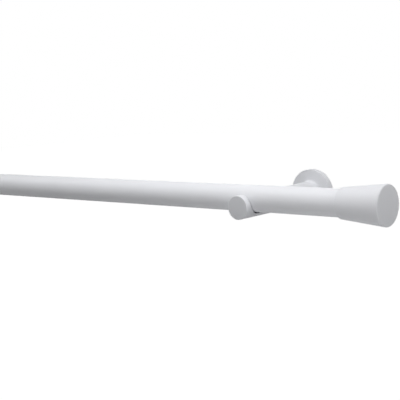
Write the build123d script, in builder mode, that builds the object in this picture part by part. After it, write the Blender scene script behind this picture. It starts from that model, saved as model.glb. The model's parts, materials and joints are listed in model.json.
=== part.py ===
"""Curtain rod: a lacquered round tube carried by two cast wall brackets, with a flared finial on each end.

The origin is on the wall, midway between the brackets, at the height of their arms.
+X runs along the rod, +Y points into the wall and +Z is up.
"""
import os
from math import sqrt

from build123d import *

# Tube
tube_length = 1000.0
tube_diameter = 20.0
tube_wall = 1.0

# Finial: a cone whose narrow end stands proud of the tube and meets its cut end
finial_length = 35.4
finial_shoulder = 1.2
finial_flare = 3.4
finial_end_bevel = 0.5
finial_shoulder_bevel = 0.4
finial_seat_gap = 0.1

# Plug: a ribbed dowel, pressed into the finial, that grips the tube's bore
plug_press_length = 12.0
plug_press_clearance = 0.03
plug_grip_length = 20.0
plug_grip_clearance = 0.05
plug_rib_height = 1.6
plug_rib_width = 2.2
plug_rib_count = 6

# Bracket: rosette, arm and saddle in one casting
bracket_inset = 81.0
rod_to_wall = 83.2
arm_diameter = 17.8
arm_front_bevel = 0.4
arm_root_bevel = 1.0
saddle_clearance = 0.3
saddle_lip_gap = 0.075
saddle_front_wall = 4.9
saddle_floor_wall = 3.4
rosette_diameter = 36.8
rosette_face_bevel = 0.45
rosette_face_wall = 1.9
rosette_rim_wall = 2.9

# Wall plate: a disc inside the rosette that widens away from the wall
plate_face_gap = 0.3
plate_rim_clearance = 0.25
plate_undercut = 1.15
wall_screws_per_plate = 2
wall_screw_hole = 4.5
wall_screw_head = 8.4
wall_screw_head_angle = 90.0
wall_screw_edge = 0.4

# Set screws: one below each rosette and one below each saddle
rosette_screw_diameter = 3.0
rosette_screw_length = 3.0
rosette_screw_point = 1.2
rosette_screw_hex = 1.5
rosette_screw_socket = 1.5
rosette_screw_land = 0.12
rod_screw_diameter = 4.0
rod_screw_length = 4.0
rod_screw_point = 3.2
rod_screw_hex = 2.0
rod_screw_socket = 2.0
thread_clearance = 0.03
screw_point_gap = 0.02

# Tube, finial and plug sizes that follow
tube_radius = tube_diameter / 2
bore_radius = tube_radius - tube_wall
tube_end = tube_length / 2
finial_seat = tube_end + finial_seat_gap
shoulder_radius = tube_radius + finial_shoulder
finial_end_radius = shoulder_radius + finial_flare
plug_radius = bore_radius - plug_grip_clearance
plug_core_radius = plug_radius - plug_rib_height
socket_radius = plug_radius + plug_press_clearance

# Bracket sizes that follow: the saddle's walls set its height and the arm's reach, and its set screw
# lifts the tube from the floor until it meets the lips, which close in above the tube's axis
arm_radius = arm_diameter / 2
saddle_radius = tube_radius + saddle_clearance
saddle_z = saddle_radius + saddle_floor_wall - arm_radius
lip_height = arm_radius - saddle_z
lip_half_width = sqrt(saddle_radius**2 - lip_height**2)
saddle_lift = lip_height - sqrt((tube_radius + saddle_lip_gap) ** 2 - lip_half_width**2)
bracket_x = tube_end - bracket_inset
rod_y = -rod_to_wall
rod_z = saddle_z + saddle_lift
arm_front = rod_to_wall + saddle_radius + saddle_front_wall

# Rosette and wall plate sizes that follow: the rim is just deep enough for its set screw
rosette_screw_depth = rosette_screw_diameter / 2 + thread_clearance + rosette_screw_land
rosette_hollow = 2 * rosette_screw_depth
rosette_depth = rosette_hollow + rosette_face_wall
rosette_radius = rosette_diameter / 2
hollow_radius = rosette_radius - rosette_rim_wall
plate_thickness = rosette_hollow - plate_face_gap
plate_front_radius = hollow_radius - plate_rim_clearance
plate_back_radius = plate_front_radius - plate_undercut
wall_screw_pitch = 2 * (plate_back_radius - wall_screw_edge) - wall_screw_head


def rod_axis(side):
    """The rod's axis, pointing to the left (-1) or right (1) end."""
    return Axis((0, rod_y, rod_z), (side, 0, 0))


def profile_plane(side, distance):
    """Plane through the rod's axis for turned profiles: x runs outwards from here, y is the radius."""
    return Plane(origin=(side * distance, rod_y, rod_z), x_dir=(side, 0, 0), z_dir=(0, 0, 1))


def section_plane(side, distance):
    """Plane across the rod at this distance from mid-rod, facing outwards."""
    return Plane(origin=(side * distance, rod_y, rod_z), z_dir=(side, 0, 0))


def bracket_planes(y, z, facing):
    """A pair of planes, one at each bracket, at this depth and height."""
    return [Plane(origin=(side * bracket_x, y, z), x_dir=(1, 0, 0), z_dir=facing) for side in (-1, 1)]


def corner(sketch, x, y):
    """The corner of a flat profile at this place."""
    return sketch.vertices().sort_by_distance((x, y, 0))[0]


def make_tube():
    with BuildPart() as tube:
        with BuildSketch(section_plane(1, -tube_end)):
            Circle(tube_radius)
            Circle(bore_radius, mode=Mode.SUBTRACT)
        extrude(amount=tube_length)
    return tube


def make_finial(side):
    with BuildPart() as finial:
        with BuildSketch(profile_plane(side, finial_seat)) as section:
            with BuildLine():
                Polyline(
                    (0, socket_radius),
                    (0, shoulder_radius),
                    (finial_length, finial_end_radius),
                    (finial_length, 0),
                    (plug_press_length, 0),
                    (plug_press_length, socket_radius),
                    close=True,
                )
            make_face()
            chamfer(corner(section, 0, shoulder_radius), finial_shoulder_bevel)
            chamfer(corner(section, finial_length, finial_end_radius), finial_end_bevel)
        revolve(axis=rod_axis(side))
    return finial


def make_plug(side):
    tip = finial_seat - plug_grip_length
    with BuildPart() as plug:
        with BuildSketch(section_plane(side, tip)):
            with PolarLocations(0, plug_rib_count):
                Rectangle(tube_radius, plug_rib_width, align=(Align.MIN, Align.CENTER))
            Circle(plug_radius, mode=Mode.INTERSECT)
            Circle(plug_core_radius)
        extrude(amount=plug_grip_length + plug_press_length)
    return plug


def make_bracket(side):
    x = side * bracket_x
    with BuildPart() as bracket:
        with BuildSketch(Plane(origin=(x, 0, 0))) as section:
            with BuildLine():
                Polyline(
                    (0, -arm_front),
                    (arm_radius, -arm_front),
                    (arm_radius, -rosette_depth),
                    (rosette_radius, -rosette_depth),
                    (rosette_radius, 0),
                    (hollow_radius, 0),
                    (hollow_radius, -rosette_hollow),
                    (0, -rosette_hollow),
                    close=True,
                )
            make_face()
            chamfer(corner(section, arm_radius, -arm_front), arm_front_bevel)
            chamfer(corner(section, arm_radius, -rosette_depth), arm_root_bevel)
            chamfer(corner(section, rosette_radius, -rosette_depth), rosette_face_bevel)
        revolve(axis=Axis((x, 0, 0), (0, 1, 0)))
        with BuildSketch(Plane(origin=(x, rod_y, saddle_z), z_dir=(1, 0, 0))):
            Circle(saddle_radius)
        extrude(amount=arm_diameter, both=True, mode=Mode.SUBTRACT)
        with Locations((x, rod_y, rod_z)):
            Hole(rod_screw_diameter / 2 + thread_clearance, depth=rod_z + arm_diameter)
        with Locations((x, -rosette_screw_depth, -plate_back_radius)):
            Hole(rosette_screw_diameter / 2 + thread_clearance, depth=rosette_diameter)
    return bracket


def make_wall_plates():
    with BuildPart(*bracket_planes(0, 0, (0, -1, 0))) as plates:
        Cone(
            plate_back_radius,
            plate_front_radius,
            plate_thickness,
            align=(Align.CENTER, Align.CENTER, Align.MIN),
        )
        with Locations((0, 0, plate_thickness)):
            with GridLocations(wall_screw_pitch, wall_screw_pitch, 1, wall_screws_per_plate):
                CounterSinkHole(
                    wall_screw_hole / 2,
                    wall_screw_head / 2,
                    counter_sink_angle=wall_screw_head_angle,
                )
    return plates


def make_set_screws(y, top, diameter, length, point, hex_size, socket):
    """A set screw at each bracket that hangs down from its point, with a hex socket in its lower end."""
    stems = bracket_planes(y, top, (0, 0, -1))
    with BuildPart() as screws:
        with BuildSketch(*stems):
            Circle(diameter / 2)
        extrude(amount=length)
        points = screws.edges().filter_by(GeomType.CIRCLE).group_by(Axis.Z)[-1]
        chamfer(points, (diameter - point) / 2)
        with BuildSketch(*[stem.offset(length) for stem in stems]):
            RegularPolygon(hex_size / 2, 6, major_radius=False)
        extrude(amount=-socket, mode=Mode.SUBTRACT)
    return screws


def make_rod_screws():
    """Their points clamp the tube against the lips of its saddles."""
    return make_set_screws(
        rod_y,
        rod_z - tube_radius - screw_point_gap,
        rod_screw_diameter,
        rod_screw_length,
        rod_screw_point,
        rod_screw_hex,
        rod_screw_socket,
    )


def make_rosette_screws():
    """Their points bear on the plates' undercut rims and draw the rosettes to the wall."""
    slope = plate_undercut / plate_thickness
    rim_radius = plate_back_radius + slope * (rosette_screw_depth + rosette_screw_point / 2)
    return make_set_screws(
        -rosette_screw_depth,
        -rim_radius - screw_point_gap,
        rosette_screw_diameter,
        rosette_screw_length,
        rosette_screw_point,
        rosette_screw_hex,
        rosette_screw_socket,
    )


def write(piece, name):
    piece.part.label = name
    export_step(piece.part, f"parts/{name}.step")


os.makedirs("parts", exist_ok=True)
write(make_tube(), "rod_tube")
write(make_wall_plates(), "wall_plates")
write(make_rosette_screws(), "rosette_screws")
write(make_rod_screws(), "rod_screws")
for side_name, side in (("left", -1), ("right", 1)):
    write(make_finial(side), f"{side_name}_finial")
    write(make_plug(side), f"{side_name}_finial_plug")
    write(make_bracket(side), f"{side_name}_bracket")
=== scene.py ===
"""White lacquered curtain rod on two cast brackets, in soft studio light on a white ground.

Units are metres. The frame's +X runs along the rod, +Y into the wall and +Z up.
"""
import json
import math

import bmesh
import bpy
from mathutils import Matrix, Vector


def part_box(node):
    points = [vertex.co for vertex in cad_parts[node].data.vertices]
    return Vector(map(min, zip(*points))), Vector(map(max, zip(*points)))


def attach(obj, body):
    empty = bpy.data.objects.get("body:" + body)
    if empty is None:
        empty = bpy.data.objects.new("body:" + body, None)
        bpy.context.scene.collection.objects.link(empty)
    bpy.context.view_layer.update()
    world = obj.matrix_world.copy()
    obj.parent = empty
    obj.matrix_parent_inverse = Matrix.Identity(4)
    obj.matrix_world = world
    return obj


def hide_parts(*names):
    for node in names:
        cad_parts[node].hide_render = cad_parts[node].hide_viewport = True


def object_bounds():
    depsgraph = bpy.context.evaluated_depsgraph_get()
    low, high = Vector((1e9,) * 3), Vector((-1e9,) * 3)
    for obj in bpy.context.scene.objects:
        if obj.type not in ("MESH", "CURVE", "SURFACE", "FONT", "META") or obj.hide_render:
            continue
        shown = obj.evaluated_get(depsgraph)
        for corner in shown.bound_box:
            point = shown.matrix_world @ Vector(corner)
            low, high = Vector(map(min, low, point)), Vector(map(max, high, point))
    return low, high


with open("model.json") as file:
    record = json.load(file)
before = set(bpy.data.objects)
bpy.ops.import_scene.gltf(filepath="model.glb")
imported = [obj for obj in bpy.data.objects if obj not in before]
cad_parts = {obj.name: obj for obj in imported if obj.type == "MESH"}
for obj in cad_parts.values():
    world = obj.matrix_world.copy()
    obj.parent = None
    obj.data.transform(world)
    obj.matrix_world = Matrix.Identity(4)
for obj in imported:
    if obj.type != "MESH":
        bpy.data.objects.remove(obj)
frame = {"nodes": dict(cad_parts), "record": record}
cad_low, cad_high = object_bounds()

SIDES = {"left": -1, "right": 1}
WHITE = (1, 1, 1, 1)

# Turned surfaces
TURN_SEGMENTS = 160
CORNER_STEPS = 6
SHARP_ANGLE = math.radians(32)

# Tube
TUBE_WALL = 0.0010
TUBE_EDGE = 0.0002

# Finial
FINIAL_SHOULDER_RADIUS = 0.0112
FINIAL_END_RADIUS = 0.0146
FINIAL_SHOULDER_ROUND = 0.0004
FINIAL_END_ROUND = 0.0010
SOCKET_RADIUS = 0.00898
SOCKET_DEPTH = 0.012

# Bracket
ARM_RADIUS = 0.0089
ARM_FRONT_ROUND = 0.0005
ARM_FRONT_TOLERANCE = 0.0001
ARM_ROOT_FILLET = 0.0017
ROSETTE_DEPTH = 0.0052
ROSETTE_ROUND = 0.00055
ROSETTE_HOLLOW = 0.0033
ROSETTE_RIM = 0.0029
SADDLE_CLEARANCE = 0.0005
SADDLE_LIFT = 0.000603
THREAD_CLEARANCE = 0.00003

# Finishes: grain, clouds, peel and depths are in metres, and colours and roughness run between two values
NOISE_DETAIL = 2.0

# Lacquer, with shades from thin to thick film
TUBE_SHADES = (0.795, 0.805, 0.838), (0.825, 0.832, 0.860)
TUBE_PEEL = 0.0014
TUBE_PEEL_DEPTH = 0.000010
CASTING_SHADES = (0.755, 0.764, 0.797), (0.785, 0.792, 0.819)
# Painted shade: a darker copy of the casting lacquer for the arm's flat front, standing in for shade the
# lamps don't give it
PAINTED_SHADE_FRONT_COLOURS = (0.632, 0.641, 0.670), (0.658, 0.665, 0.688)
CASTING_PEEL = 0.0018
CASTING_PEEL_DEPTH = 0.000014
FILM_GRAIN = 0.03
SATIN_GRAIN = 0.006
SATIN_ROUGHNESS = 0.46, 0.54
LACQUER_SPECULAR = 0.3

# Nylon
NYLON_SHADES = (0.68, 0.66, 0.58), (0.74, 0.72, 0.65)
NYLON_CLOUDS = 0.008
NYLON_ROUGHNESS = 0.42, 0.55
NYLON_ROUGHNESS_GRAIN = 0.0015
NYLON_TEXTURE = 0.0006
NYLON_TEXTURE_DEPTH = 0.00002
NYLON_TRANSLUCENCY = 0.25
NYLON_TRANSLUCENCY_DEPTH = 0.0015
NYLON_TRANSLUCENCY_RGB = 1.0, 0.9, 0.7

# Zinc
ZINC_SHADES = (0.50, 0.53, 0.57), (0.68, 0.70, 0.72)
ZINC_CLOUDS = 0.005
ZINC_CLOUD_DETAIL = 4.0
ZINC_ROUGHNESS = 0.28, 0.46
ROLLING_GRAIN = 0.0008
ROLLING_STRETCH = 1.0, 1.0, 0.06
ROLLING_DEPTH = 0.00001

# Blackened steel
STEEL_SHADES = (0.05, 0.05, 0.055), (0.12, 0.12, 0.125)
STEEL_CLOUDS = 0.0012
STEEL_ROUGHNESS = 0.35, 0.5
STEEL_ROUGHNESS_GRAIN = 0.0004
TURNING_GRAIN = 0.0006
TURNING_STRETCH = 0.1, 0.1, 6.0
TURNING_DEPTH = 0.00001

# Ground
FLOOR_DROP = 2.2
FLOOR_SIZE = 60.0
FLOOR_GLOW = 1.0
FLOOR_SHADES = (0.69, 0.69, 0.69), (0.71, 0.71, 0.71)
FLOOR_GRAIN = 0.5
FLOOR_ROUGHNESS = 0.9

# Camera, seen from the middle of the right saddle
CAMERA_FROM_SADDLE = Vector((0.42751, -0.53144, 0.08737))
CAMERA_YAW = math.radians(41.92)
CAMERA_PITCH = math.radians(7.27)
CAMERA_ROLL = math.radians(3.07)
CAMERA_LENS = 83.366
CAMERA_SENSOR = 36.0

# Light, with each soft box seen from the middle of the right saddle
AMBIENT = 0.03
WHITE_SKY = 1.0
SOFTBOXES = {
    "top": {
        "from_saddle": (0.00, -0.122, 0.38), "facing": (0, 0, -1),
        "length": 0.50, "width": 0.25, "power": 1.41,
    },
    "front": {
        "from_saddle": (0.27, -0.80, 0.02), "facing": (0, 1, 0),
        "length": 0.70, "width": 0.60, "power": 2.05,
    },
    "back": {
        "from_saddle": (0.15, 0.80, 0.20), "facing": (0, -1, 0),
        "length": 0.70, "width": 0.60, "power": 1.35,
    },
    "end": {
        "from_saddle": (0.80, 0.02, 0.46), "facing": (-1, 0, 0),
        "length": 0.60, "width": 0.40, "power": 3.42,
    },
    "under": {
        "from_saddle": (0.20, -0.14, -0.36), "facing": (0, 0, 1),
        "length": 0.36, "width": 0.40, "power": 0.53,
    },
}


def middle(node):
    """Middle of a node's box."""
    low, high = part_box(node)
    return (low + high) / 2


def tube_radius():
    """Outer radius of the tube."""
    low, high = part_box("rod_tube")
    return (high.z - low.z) / 2


def saddle_middle(side):
    """Point where the tube's axis crosses a bracket."""
    place = middle("rod_tube")
    place.x = middle(f"{side}_bracket").x
    return place


def rounded(corners):
    """Profile points with arcs in place of the corners; each corner is (along, radius, rounding)."""
    points = []
    for i, (along, radius, rounding) in enumerate(corners):
        here = Vector((along, radius))
        if not rounding:
            points.append(here)
            continue
        back = (Vector(corners[i - 1][:2]) - here).normalized()
        ahead = (Vector(corners[i + 1][:2]) - here).normalized()
        half = back.angle(ahead) / 2
        centre = here + (back + ahead).normalized() * rounding / math.sin(half)
        first = here + back * rounding / math.tan(half) - centre
        last = here + ahead * rounding / math.tan(half) - centre
        sweep = first.angle(last)
        for step in range(CORNER_STEPS + 1):
            share = step / CORNER_STEPS
            arm = first * math.sin((1 - share) * sweep) + last * math.sin(share * sweep)
            points.append(centre + arm / math.sin(sweep))
    return points


def turned(name, corners, origin, axis, closed=False):
    """Piece turned from a profile: a ring if the profile is closed, else its ends lie on the axis."""
    profile = rounded(corners)
    turn = Vector((1, 0, 0)).rotation_difference(axis).to_matrix()
    mesh = bmesh.new()
    rings = []
    for along, radius in profile:
        count = TURN_SEGMENTS if radius else 1
        ring = []
        for k in range(count):
            angle = 2 * math.pi * k / TURN_SEGMENTS
            local = Vector((along, radius * math.cos(angle), radius * math.sin(angle)))
            ring.append(mesh.verts.new(origin + turn @ local))
        rings.append(ring)
    pairs = list(zip(rings, rings[1:]))
    if closed:
        pairs.append((rings[-1], rings[0]))
    for a, b in pairs:
        for k in range(TURN_SEGMENTS):
            loop = [a[k % len(a)], a[(k + 1) % len(a)], b[(k + 1) % len(b)], b[k % len(b)]]
            mesh.faces.new(list(dict.fromkeys(loop)))
    bmesh.ops.recalc_face_normals(mesh, faces=mesh.faces)
    piece = bpy.data.objects.new(name, bpy.data.meshes.new(name))
    mesh.to_mesh(piece.data)
    mesh.free()
    bpy.context.scene.collection.objects.link(piece)
    return piece


def rod_between(name, start, end, radius):
    """Plain round bar, used to cut holes."""
    length = (end - start).length
    corners = [(0, 0, 0), (0, radius, 0), (length, radius, 0), (length, 0, 0)]
    return turned(name, corners, start, (end - start).normalized())


def cut(piece, cutters):
    """Takes the cutters out of the piece."""
    for cutter in cutters:
        step = piece.modifiers.new(cutter.name, "BOOLEAN")
        step.operation = "DIFFERENCE"
        step.solver = "EXACT"
        step.object = cutter
    bpy.context.view_layer.update()
    shaped = piece.evaluated_get(bpy.context.evaluated_depsgraph_get())
    piece.modifiers.clear()
    piece.data = bpy.data.meshes.new_from_object(shaped)
    for cutter in cutters:
        bpy.data.objects.remove(cutter)


def dress(piece, body, node, material):
    """Smooths a piece, gives it its finish and puts it in its node's place."""
    piece.data.shade_smooth()
    piece.data.set_sharp_from_angle(angle=SHARP_ANGLE)
    piece.data.materials.clear()
    piece.data.materials.append(material)
    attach(piece, body)
    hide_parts(node)


def new_material(name):
    """Material with its node tree, its shader and a coordinate node in object space."""
    material = bpy.data.materials.new(name)
    material.use_nodes = True
    tree = material.node_tree
    shader = tree.nodes["Principled BSDF"]
    place = tree.nodes.new("ShaderNodeTexCoord").outputs["Object"]
    return material, tree, shader, place


def noise(tree, place, grain, detail=NOISE_DETAIL, stretch=None):
    """Noise over the surface, with the size of its grain in metres."""
    texture = tree.nodes.new("ShaderNodeTexNoise")
    texture.inputs["Scale"].default_value = 1 / grain
    texture.inputs["Detail"].default_value = detail
    if stretch:
        mapping = tree.nodes.new("ShaderNodeMapping")
        mapping.inputs["Scale"].default_value = stretch
        tree.links.new(place, mapping.inputs["Vector"])
        place = mapping.outputs["Vector"]
    tree.links.new(place, texture.inputs["Vector"])
    return texture.outputs["Fac"]


def ramp(tree, factor, low, high):
    """Colour that runs from low to high with a factor."""
    mix = tree.nodes.new("ShaderNodeMix")
    mix.data_type = "RGBA"
    tree.links.new(factor, mix.inputs["Factor"])
    mix.inputs["A"].default_value = (*low, 1)
    mix.inputs["B"].default_value = (*high, 1)
    return mix.outputs["Result"]


def spread(tree, factor, low, high):
    """Value that runs from low to high with a factor."""
    span = tree.nodes.new("ShaderNodeMapRange")
    tree.links.new(factor, span.inputs["Value"])
    span.inputs["To Min"].default_value = low
    span.inputs["To Max"].default_value = high
    return span.outputs["Result"]


def relief(tree, height, depth):
    """Bump from a height, with its depth in metres."""
    bump = tree.nodes.new("ShaderNodeBump")
    bump.inputs["Distance"].default_value = depth
    tree.links.new(height, bump.inputs["Height"])
    return bump.outputs["Normal"]


def connect(tree, shader, colour, roughness, normal):
    """Links a finish's colour, roughness and relief to its shader."""
    tree.links.new(colour, shader.inputs["Base Color"])
    tree.links.new(roughness, shader.inputs["Roughness"])
    tree.links.new(normal, shader.inputs["Normal"])


def lacquer(name, shades, peel, peel_depth):
    """Satin white lacquer that shades from thin to thick film, with a faint orange peel."""
    material, tree, shader, place = new_material(name)
    colour = ramp(tree, noise(tree, place, FILM_GRAIN), *shades)
    roughness = spread(tree, noise(tree, place, SATIN_GRAIN), *SATIN_ROUGHNESS)
    normal = relief(tree, noise(tree, place, peel), peel_depth)
    connect(tree, shader, colour, roughness, normal)
    shader.inputs["Specular IOR Level"].default_value = LACQUER_SPECULAR
    return material


def nylon(name):
    """Natural moulded nylon, slightly translucent."""
    material, tree, shader, place = new_material(name)
    colour = ramp(tree, noise(tree, place, NYLON_CLOUDS), *NYLON_SHADES)
    roughness = spread(tree, noise(tree, place, NYLON_ROUGHNESS_GRAIN), *NYLON_ROUGHNESS)
    normal = relief(tree, noise(tree, place, NYLON_TEXTURE), NYLON_TEXTURE_DEPTH)
    connect(tree, shader, colour, roughness, normal)
    shader.inputs["Subsurface Weight"].default_value = NYLON_TRANSLUCENCY
    shader.inputs["Subsurface Radius"].default_value = NYLON_TRANSLUCENCY_RGB
    shader.inputs["Subsurface Scale"].default_value = NYLON_TRANSLUCENCY_DEPTH
    return material


def zinc(name):
    """Bright zinc plate with a cloudy sheen over rolled steel."""
    material, tree, shader, place = new_material(name)
    clouds = noise(tree, place, ZINC_CLOUDS, detail=ZINC_CLOUD_DETAIL)
    colour = ramp(tree, clouds, *ZINC_SHADES)
    roughness = spread(tree, clouds, *ZINC_ROUGHNESS)
    rolling = noise(tree, place, ROLLING_GRAIN, stretch=ROLLING_STRETCH)
    connect(tree, shader, colour, roughness, relief(tree, rolling, ROLLING_DEPTH))
    shader.inputs["Metallic"].default_value = 1.0
    return material


def black_steel(name):
    """Blackened steel with fine turning marks."""
    material, tree, shader, place = new_material(name)
    colour = ramp(tree, noise(tree, place, STEEL_CLOUDS), *STEEL_SHADES)
    roughness = spread(tree, noise(tree, place, STEEL_ROUGHNESS_GRAIN), *STEEL_ROUGHNESS)
    marks = noise(tree, place, TURNING_GRAIN, stretch=TURNING_STRETCH)
    connect(tree, shader, colour, roughness, relief(tree, marks, TURNING_DEPTH))
    shader.inputs["Metallic"].default_value = 1.0
    return material


def build_tube(material):
    """Plain tube with its cut edges just broken."""
    low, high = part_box("rod_tube")
    radius = tube_radius()
    length = high.x - low.x
    corners = [
        (0, radius - TUBE_WALL, 0),
        (0, radius, TUBE_EDGE),
        (length, radius, TUBE_EDGE),
        (length, radius - TUBE_WALL, 0),
    ]
    start = middle("rod_tube")
    start.x = low.x
    tube = turned("tube", corners, start, Vector((1, 0, 0)), closed=True)
    dress(tube, "rail", "rod_tube", material)


def build_finial(side, material):
    """Flared cone with a socket for its plug."""
    node = f"{side}_finial"
    low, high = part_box(node)
    outwards = Vector((SIDES[side], 0, 0))
    length = high.x - low.x
    start = middle(node) - outwards * length / 2
    corners = [
        (SOCKET_DEPTH, 0, 0),
        (SOCKET_DEPTH, SOCKET_RADIUS, 0),
        (0, SOCKET_RADIUS, 0),
        (0, FINIAL_SHOULDER_RADIUS, FINIAL_SHOULDER_ROUND),
        (length, FINIAL_END_RADIUS, FINIAL_END_ROUND),
        (length, 0, 0),
    ]
    finial = turned(f"finial.{side}", corners, start, outwards)
    dress(finial, f"{side}_end", node, material)


def screw_hole(screws, x, top, bottom):
    """Upright bar that cuts the hole for the set screw at this x."""
    low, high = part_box(screws)
    y = (low.y + high.y) / 2
    radius = (high.y - low.y) / 2 + THREAD_CLEARANCE
    return rod_between(f"{screws}_hole", Vector((x, y, top)), Vector((x, y, bottom)), radius)


def paint_shade_on_front(bracket, front, material):
    """Paints shade onto the arm's flat front with a darker copy of the casting lacquer."""
    bracket.data.materials.append(material)
    for face in bracket.data.polygons:
        face.material_index = int(face.center.y < front + ARM_FRONT_TOLERANCE)


def build_bracket(side, material, front_painted_shade_material):
    """Rosette, arm and saddle in one casting, with holes for its two set screws."""
    node = f"{side}_bracket"
    low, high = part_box(node)
    rosette_radius = (high.x - low.x) / 2
    centre = middle(node)
    wall = Vector((centre.x, high.y, centre.z))
    reach = high.y - low.y
    corners = [
        (ROSETTE_HOLLOW, 0, 0),
        (ROSETTE_HOLLOW, rosette_radius - ROSETTE_RIM, 0),
        (0, rosette_radius - ROSETTE_RIM, 0),
        (0, rosette_radius, 0),
        (ROSETTE_DEPTH, rosette_radius, ROSETTE_ROUND),
        (ROSETTE_DEPTH, ARM_RADIUS, ARM_ROOT_FILLET),
        (reach, ARM_RADIUS, ARM_FRONT_ROUND),
        (reach, 0, 0),
    ]
    bracket = turned(f"bracket.{side}", corners, wall, Vector((0, -1, 0)))

    rod = saddle_middle(side)
    trough = rod - Vector((0, 0, SADDLE_LIFT))
    across = Vector((2 * ARM_RADIUS, 0, 0))
    inside_rim = wall.z - rosette_radius + 2 * ROSETTE_RIM
    below = wall.z - 2 * rosette_radius
    cut(bracket, [
        rod_between("saddle", trough - across, trough + across, tube_radius() + SADDLE_CLEARANCE),
        screw_hole("rod_screws", centre.x, rod.z, below),
        screw_hole("rosette_screws", centre.x, inside_rim, below),
    ])
    dress(bracket, "rail", node, material)
    # Painted shade on the arm's flat front
    paint_shade_on_front(bracket, low.y, front_painted_shade_material)


def seen_directly(tree):
    """1 for rays from the camera and for mirror and glass rays, 0 for rays that carry light."""
    path = tree.nodes.new("ShaderNodeLightPath")
    total = path.outputs["Is Camera Ray"]
    for name in ("Is Glossy Ray", "Is Transmission Ray"):
        either = tree.nodes.new("ShaderNodeMath")
        either.operation = "MAXIMUM"
        tree.links.new(total, either.inputs[0])
        tree.links.new(path.outputs[name], either.inputs[1])
        total = either.outputs["Value"]
    return total


def build_floor():
    """Ground that glows, so that the camera sees it pure white as in the photo."""
    bpy.ops.mesh.primitive_plane_add(size=FLOOR_SIZE, location=(0, 0, cad_low.z - FLOOR_DROP))
    floor = bpy.context.object
    floor.name = "floor"
    material, tree, shader, place = new_material("white_ground")
    colour = ramp(tree, noise(tree, place, FLOOR_GRAIN), *FLOOR_SHADES)
    tree.links.new(colour, shader.inputs["Base Color"])
    shader.inputs["Roughness"].default_value = FLOOR_ROUGHNESS
    shader.inputs["Specular IOR Level"].default_value = 0.0
    shader.inputs["Emission Color"].default_value = WHITE
    glow = spread(tree, seen_directly(tree), 0.0, FLOOR_GLOW)
    tree.links.new(glow, shader.inputs["Emission Strength"])
    floor.data.materials.append(material)


def build_world():
    """Sky that the camera sees white, and that lights the rod only faintly."""
    world = bpy.data.worlds.new("studio")
    world.use_nodes = True
    tree = world.node_tree
    background = tree.nodes["Background"]
    background.inputs["Color"].default_value = WHITE
    strength = spread(tree, seen_directly(tree), AMBIENT, WHITE_SKY)
    tree.links.new(strength, background.inputs["Strength"])
    bpy.context.scene.world = world


def build_softbox(name, box, place, facing):
    """Soft box whose length lies level."""
    lamp = bpy.data.lights.new(name, "AREA")
    lamp.shape = "RECTANGLE"
    lamp.size = box["length"]
    lamp.size_y = box["width"]
    lamp.energy = box["power"]
    softbox = bpy.data.objects.new(name, lamp)
    level = Vector((facing.y, facing.x, 0)) if facing.z == 0 else Vector((1, 0, 0))
    turn = Matrix((level, level.cross(facing), -facing)).transposed()
    softbox.matrix_world = Matrix.Translation(place) @ turn.to_4x4()
    bpy.context.scene.collection.objects.link(softbox)


def build_studio():
    """The same soft boxes round each half of the rod, mirrored for the left half."""
    for side, sign in SIDES.items():
        mirror = Vector((sign, 1, 1))
        for name, box in SOFTBOXES.items():
            place = saddle_middle(side) + mirror * Vector(box["from_saddle"])
            facing = mirror * Vector(box["facing"])
            build_softbox(f"{name}_softbox.{side}", box, place, facing)


def build_camera():
    """Camera that sees the right end as the photo does."""
    ahead = Vector((
        -math.sin(CAMERA_YAW) * math.cos(CAMERA_PITCH),
        math.cos(CAMERA_YAW) * math.cos(CAMERA_PITCH),
        -math.sin(CAMERA_PITCH),
    ))
    right = Vector((math.cos(CAMERA_YAW), math.sin(CAMERA_YAW), 0))
    down = ahead.cross(right)
    rolled_right = math.cos(CAMERA_ROLL) * right + math.sin(CAMERA_ROLL) * down
    rolled_down = math.cos(CAMERA_ROLL) * down - math.sin(CAMERA_ROLL) * right
    lens = bpy.data.cameras.new("camera")
    lens.lens = CAMERA_LENS
    lens.sensor_width = CAMERA_SENSOR
    camera = bpy.data.objects.new("camera", lens)
    turn = Matrix((rolled_right, -rolled_down, -ahead)).transposed()
    place = saddle_middle("right") + CAMERA_FROM_SADDLE
    camera.matrix_world = Matrix.Translation(place) @ turn.to_4x4()
    bpy.context.scene.collection.objects.link(camera)
    bpy.context.scene.camera = camera


tube_lacquer = lacquer("tube_lacquer", TUBE_SHADES, TUBE_PEEL, TUBE_PEEL_DEPTH)
casting_lacquer = lacquer("casting_lacquer", CASTING_SHADES, CASTING_PEEL, CASTING_PEEL_DEPTH)
# Painted shade: darker lacquer for the arm's flat front
front_painted_shade = lacquer("front_painted_shade", PAINTED_SHADE_FRONT_COLOURS, CASTING_PEEL, CASTING_PEEL_DEPTH)
finishes = {
    "tube_lacquer": tube_lacquer,
    "casting_lacquer": casting_lacquer,
    "plug_nylon": nylon("plug_nylon"),
    "plate_zinc": zinc("plate_zinc"),
    "screw_steel": black_steel("screw_steel"),
}
for subpart in frame["record"]["subparts"]:
    node = frame["nodes"][subpart["node"]]
    for holder in node.material_slots:
        holder.material = finishes[subpart["material_slot"]]

build_tube(tube_lacquer)
for side in SIDES:
    build_finial(side, casting_lacquer)
    build_bracket(side, casting_lacquer, front_painted_shade)

build_floor()
build_world()
build_studio()
build_camera()
bpy.context.scene.view_settings.view_transform = "Standard"
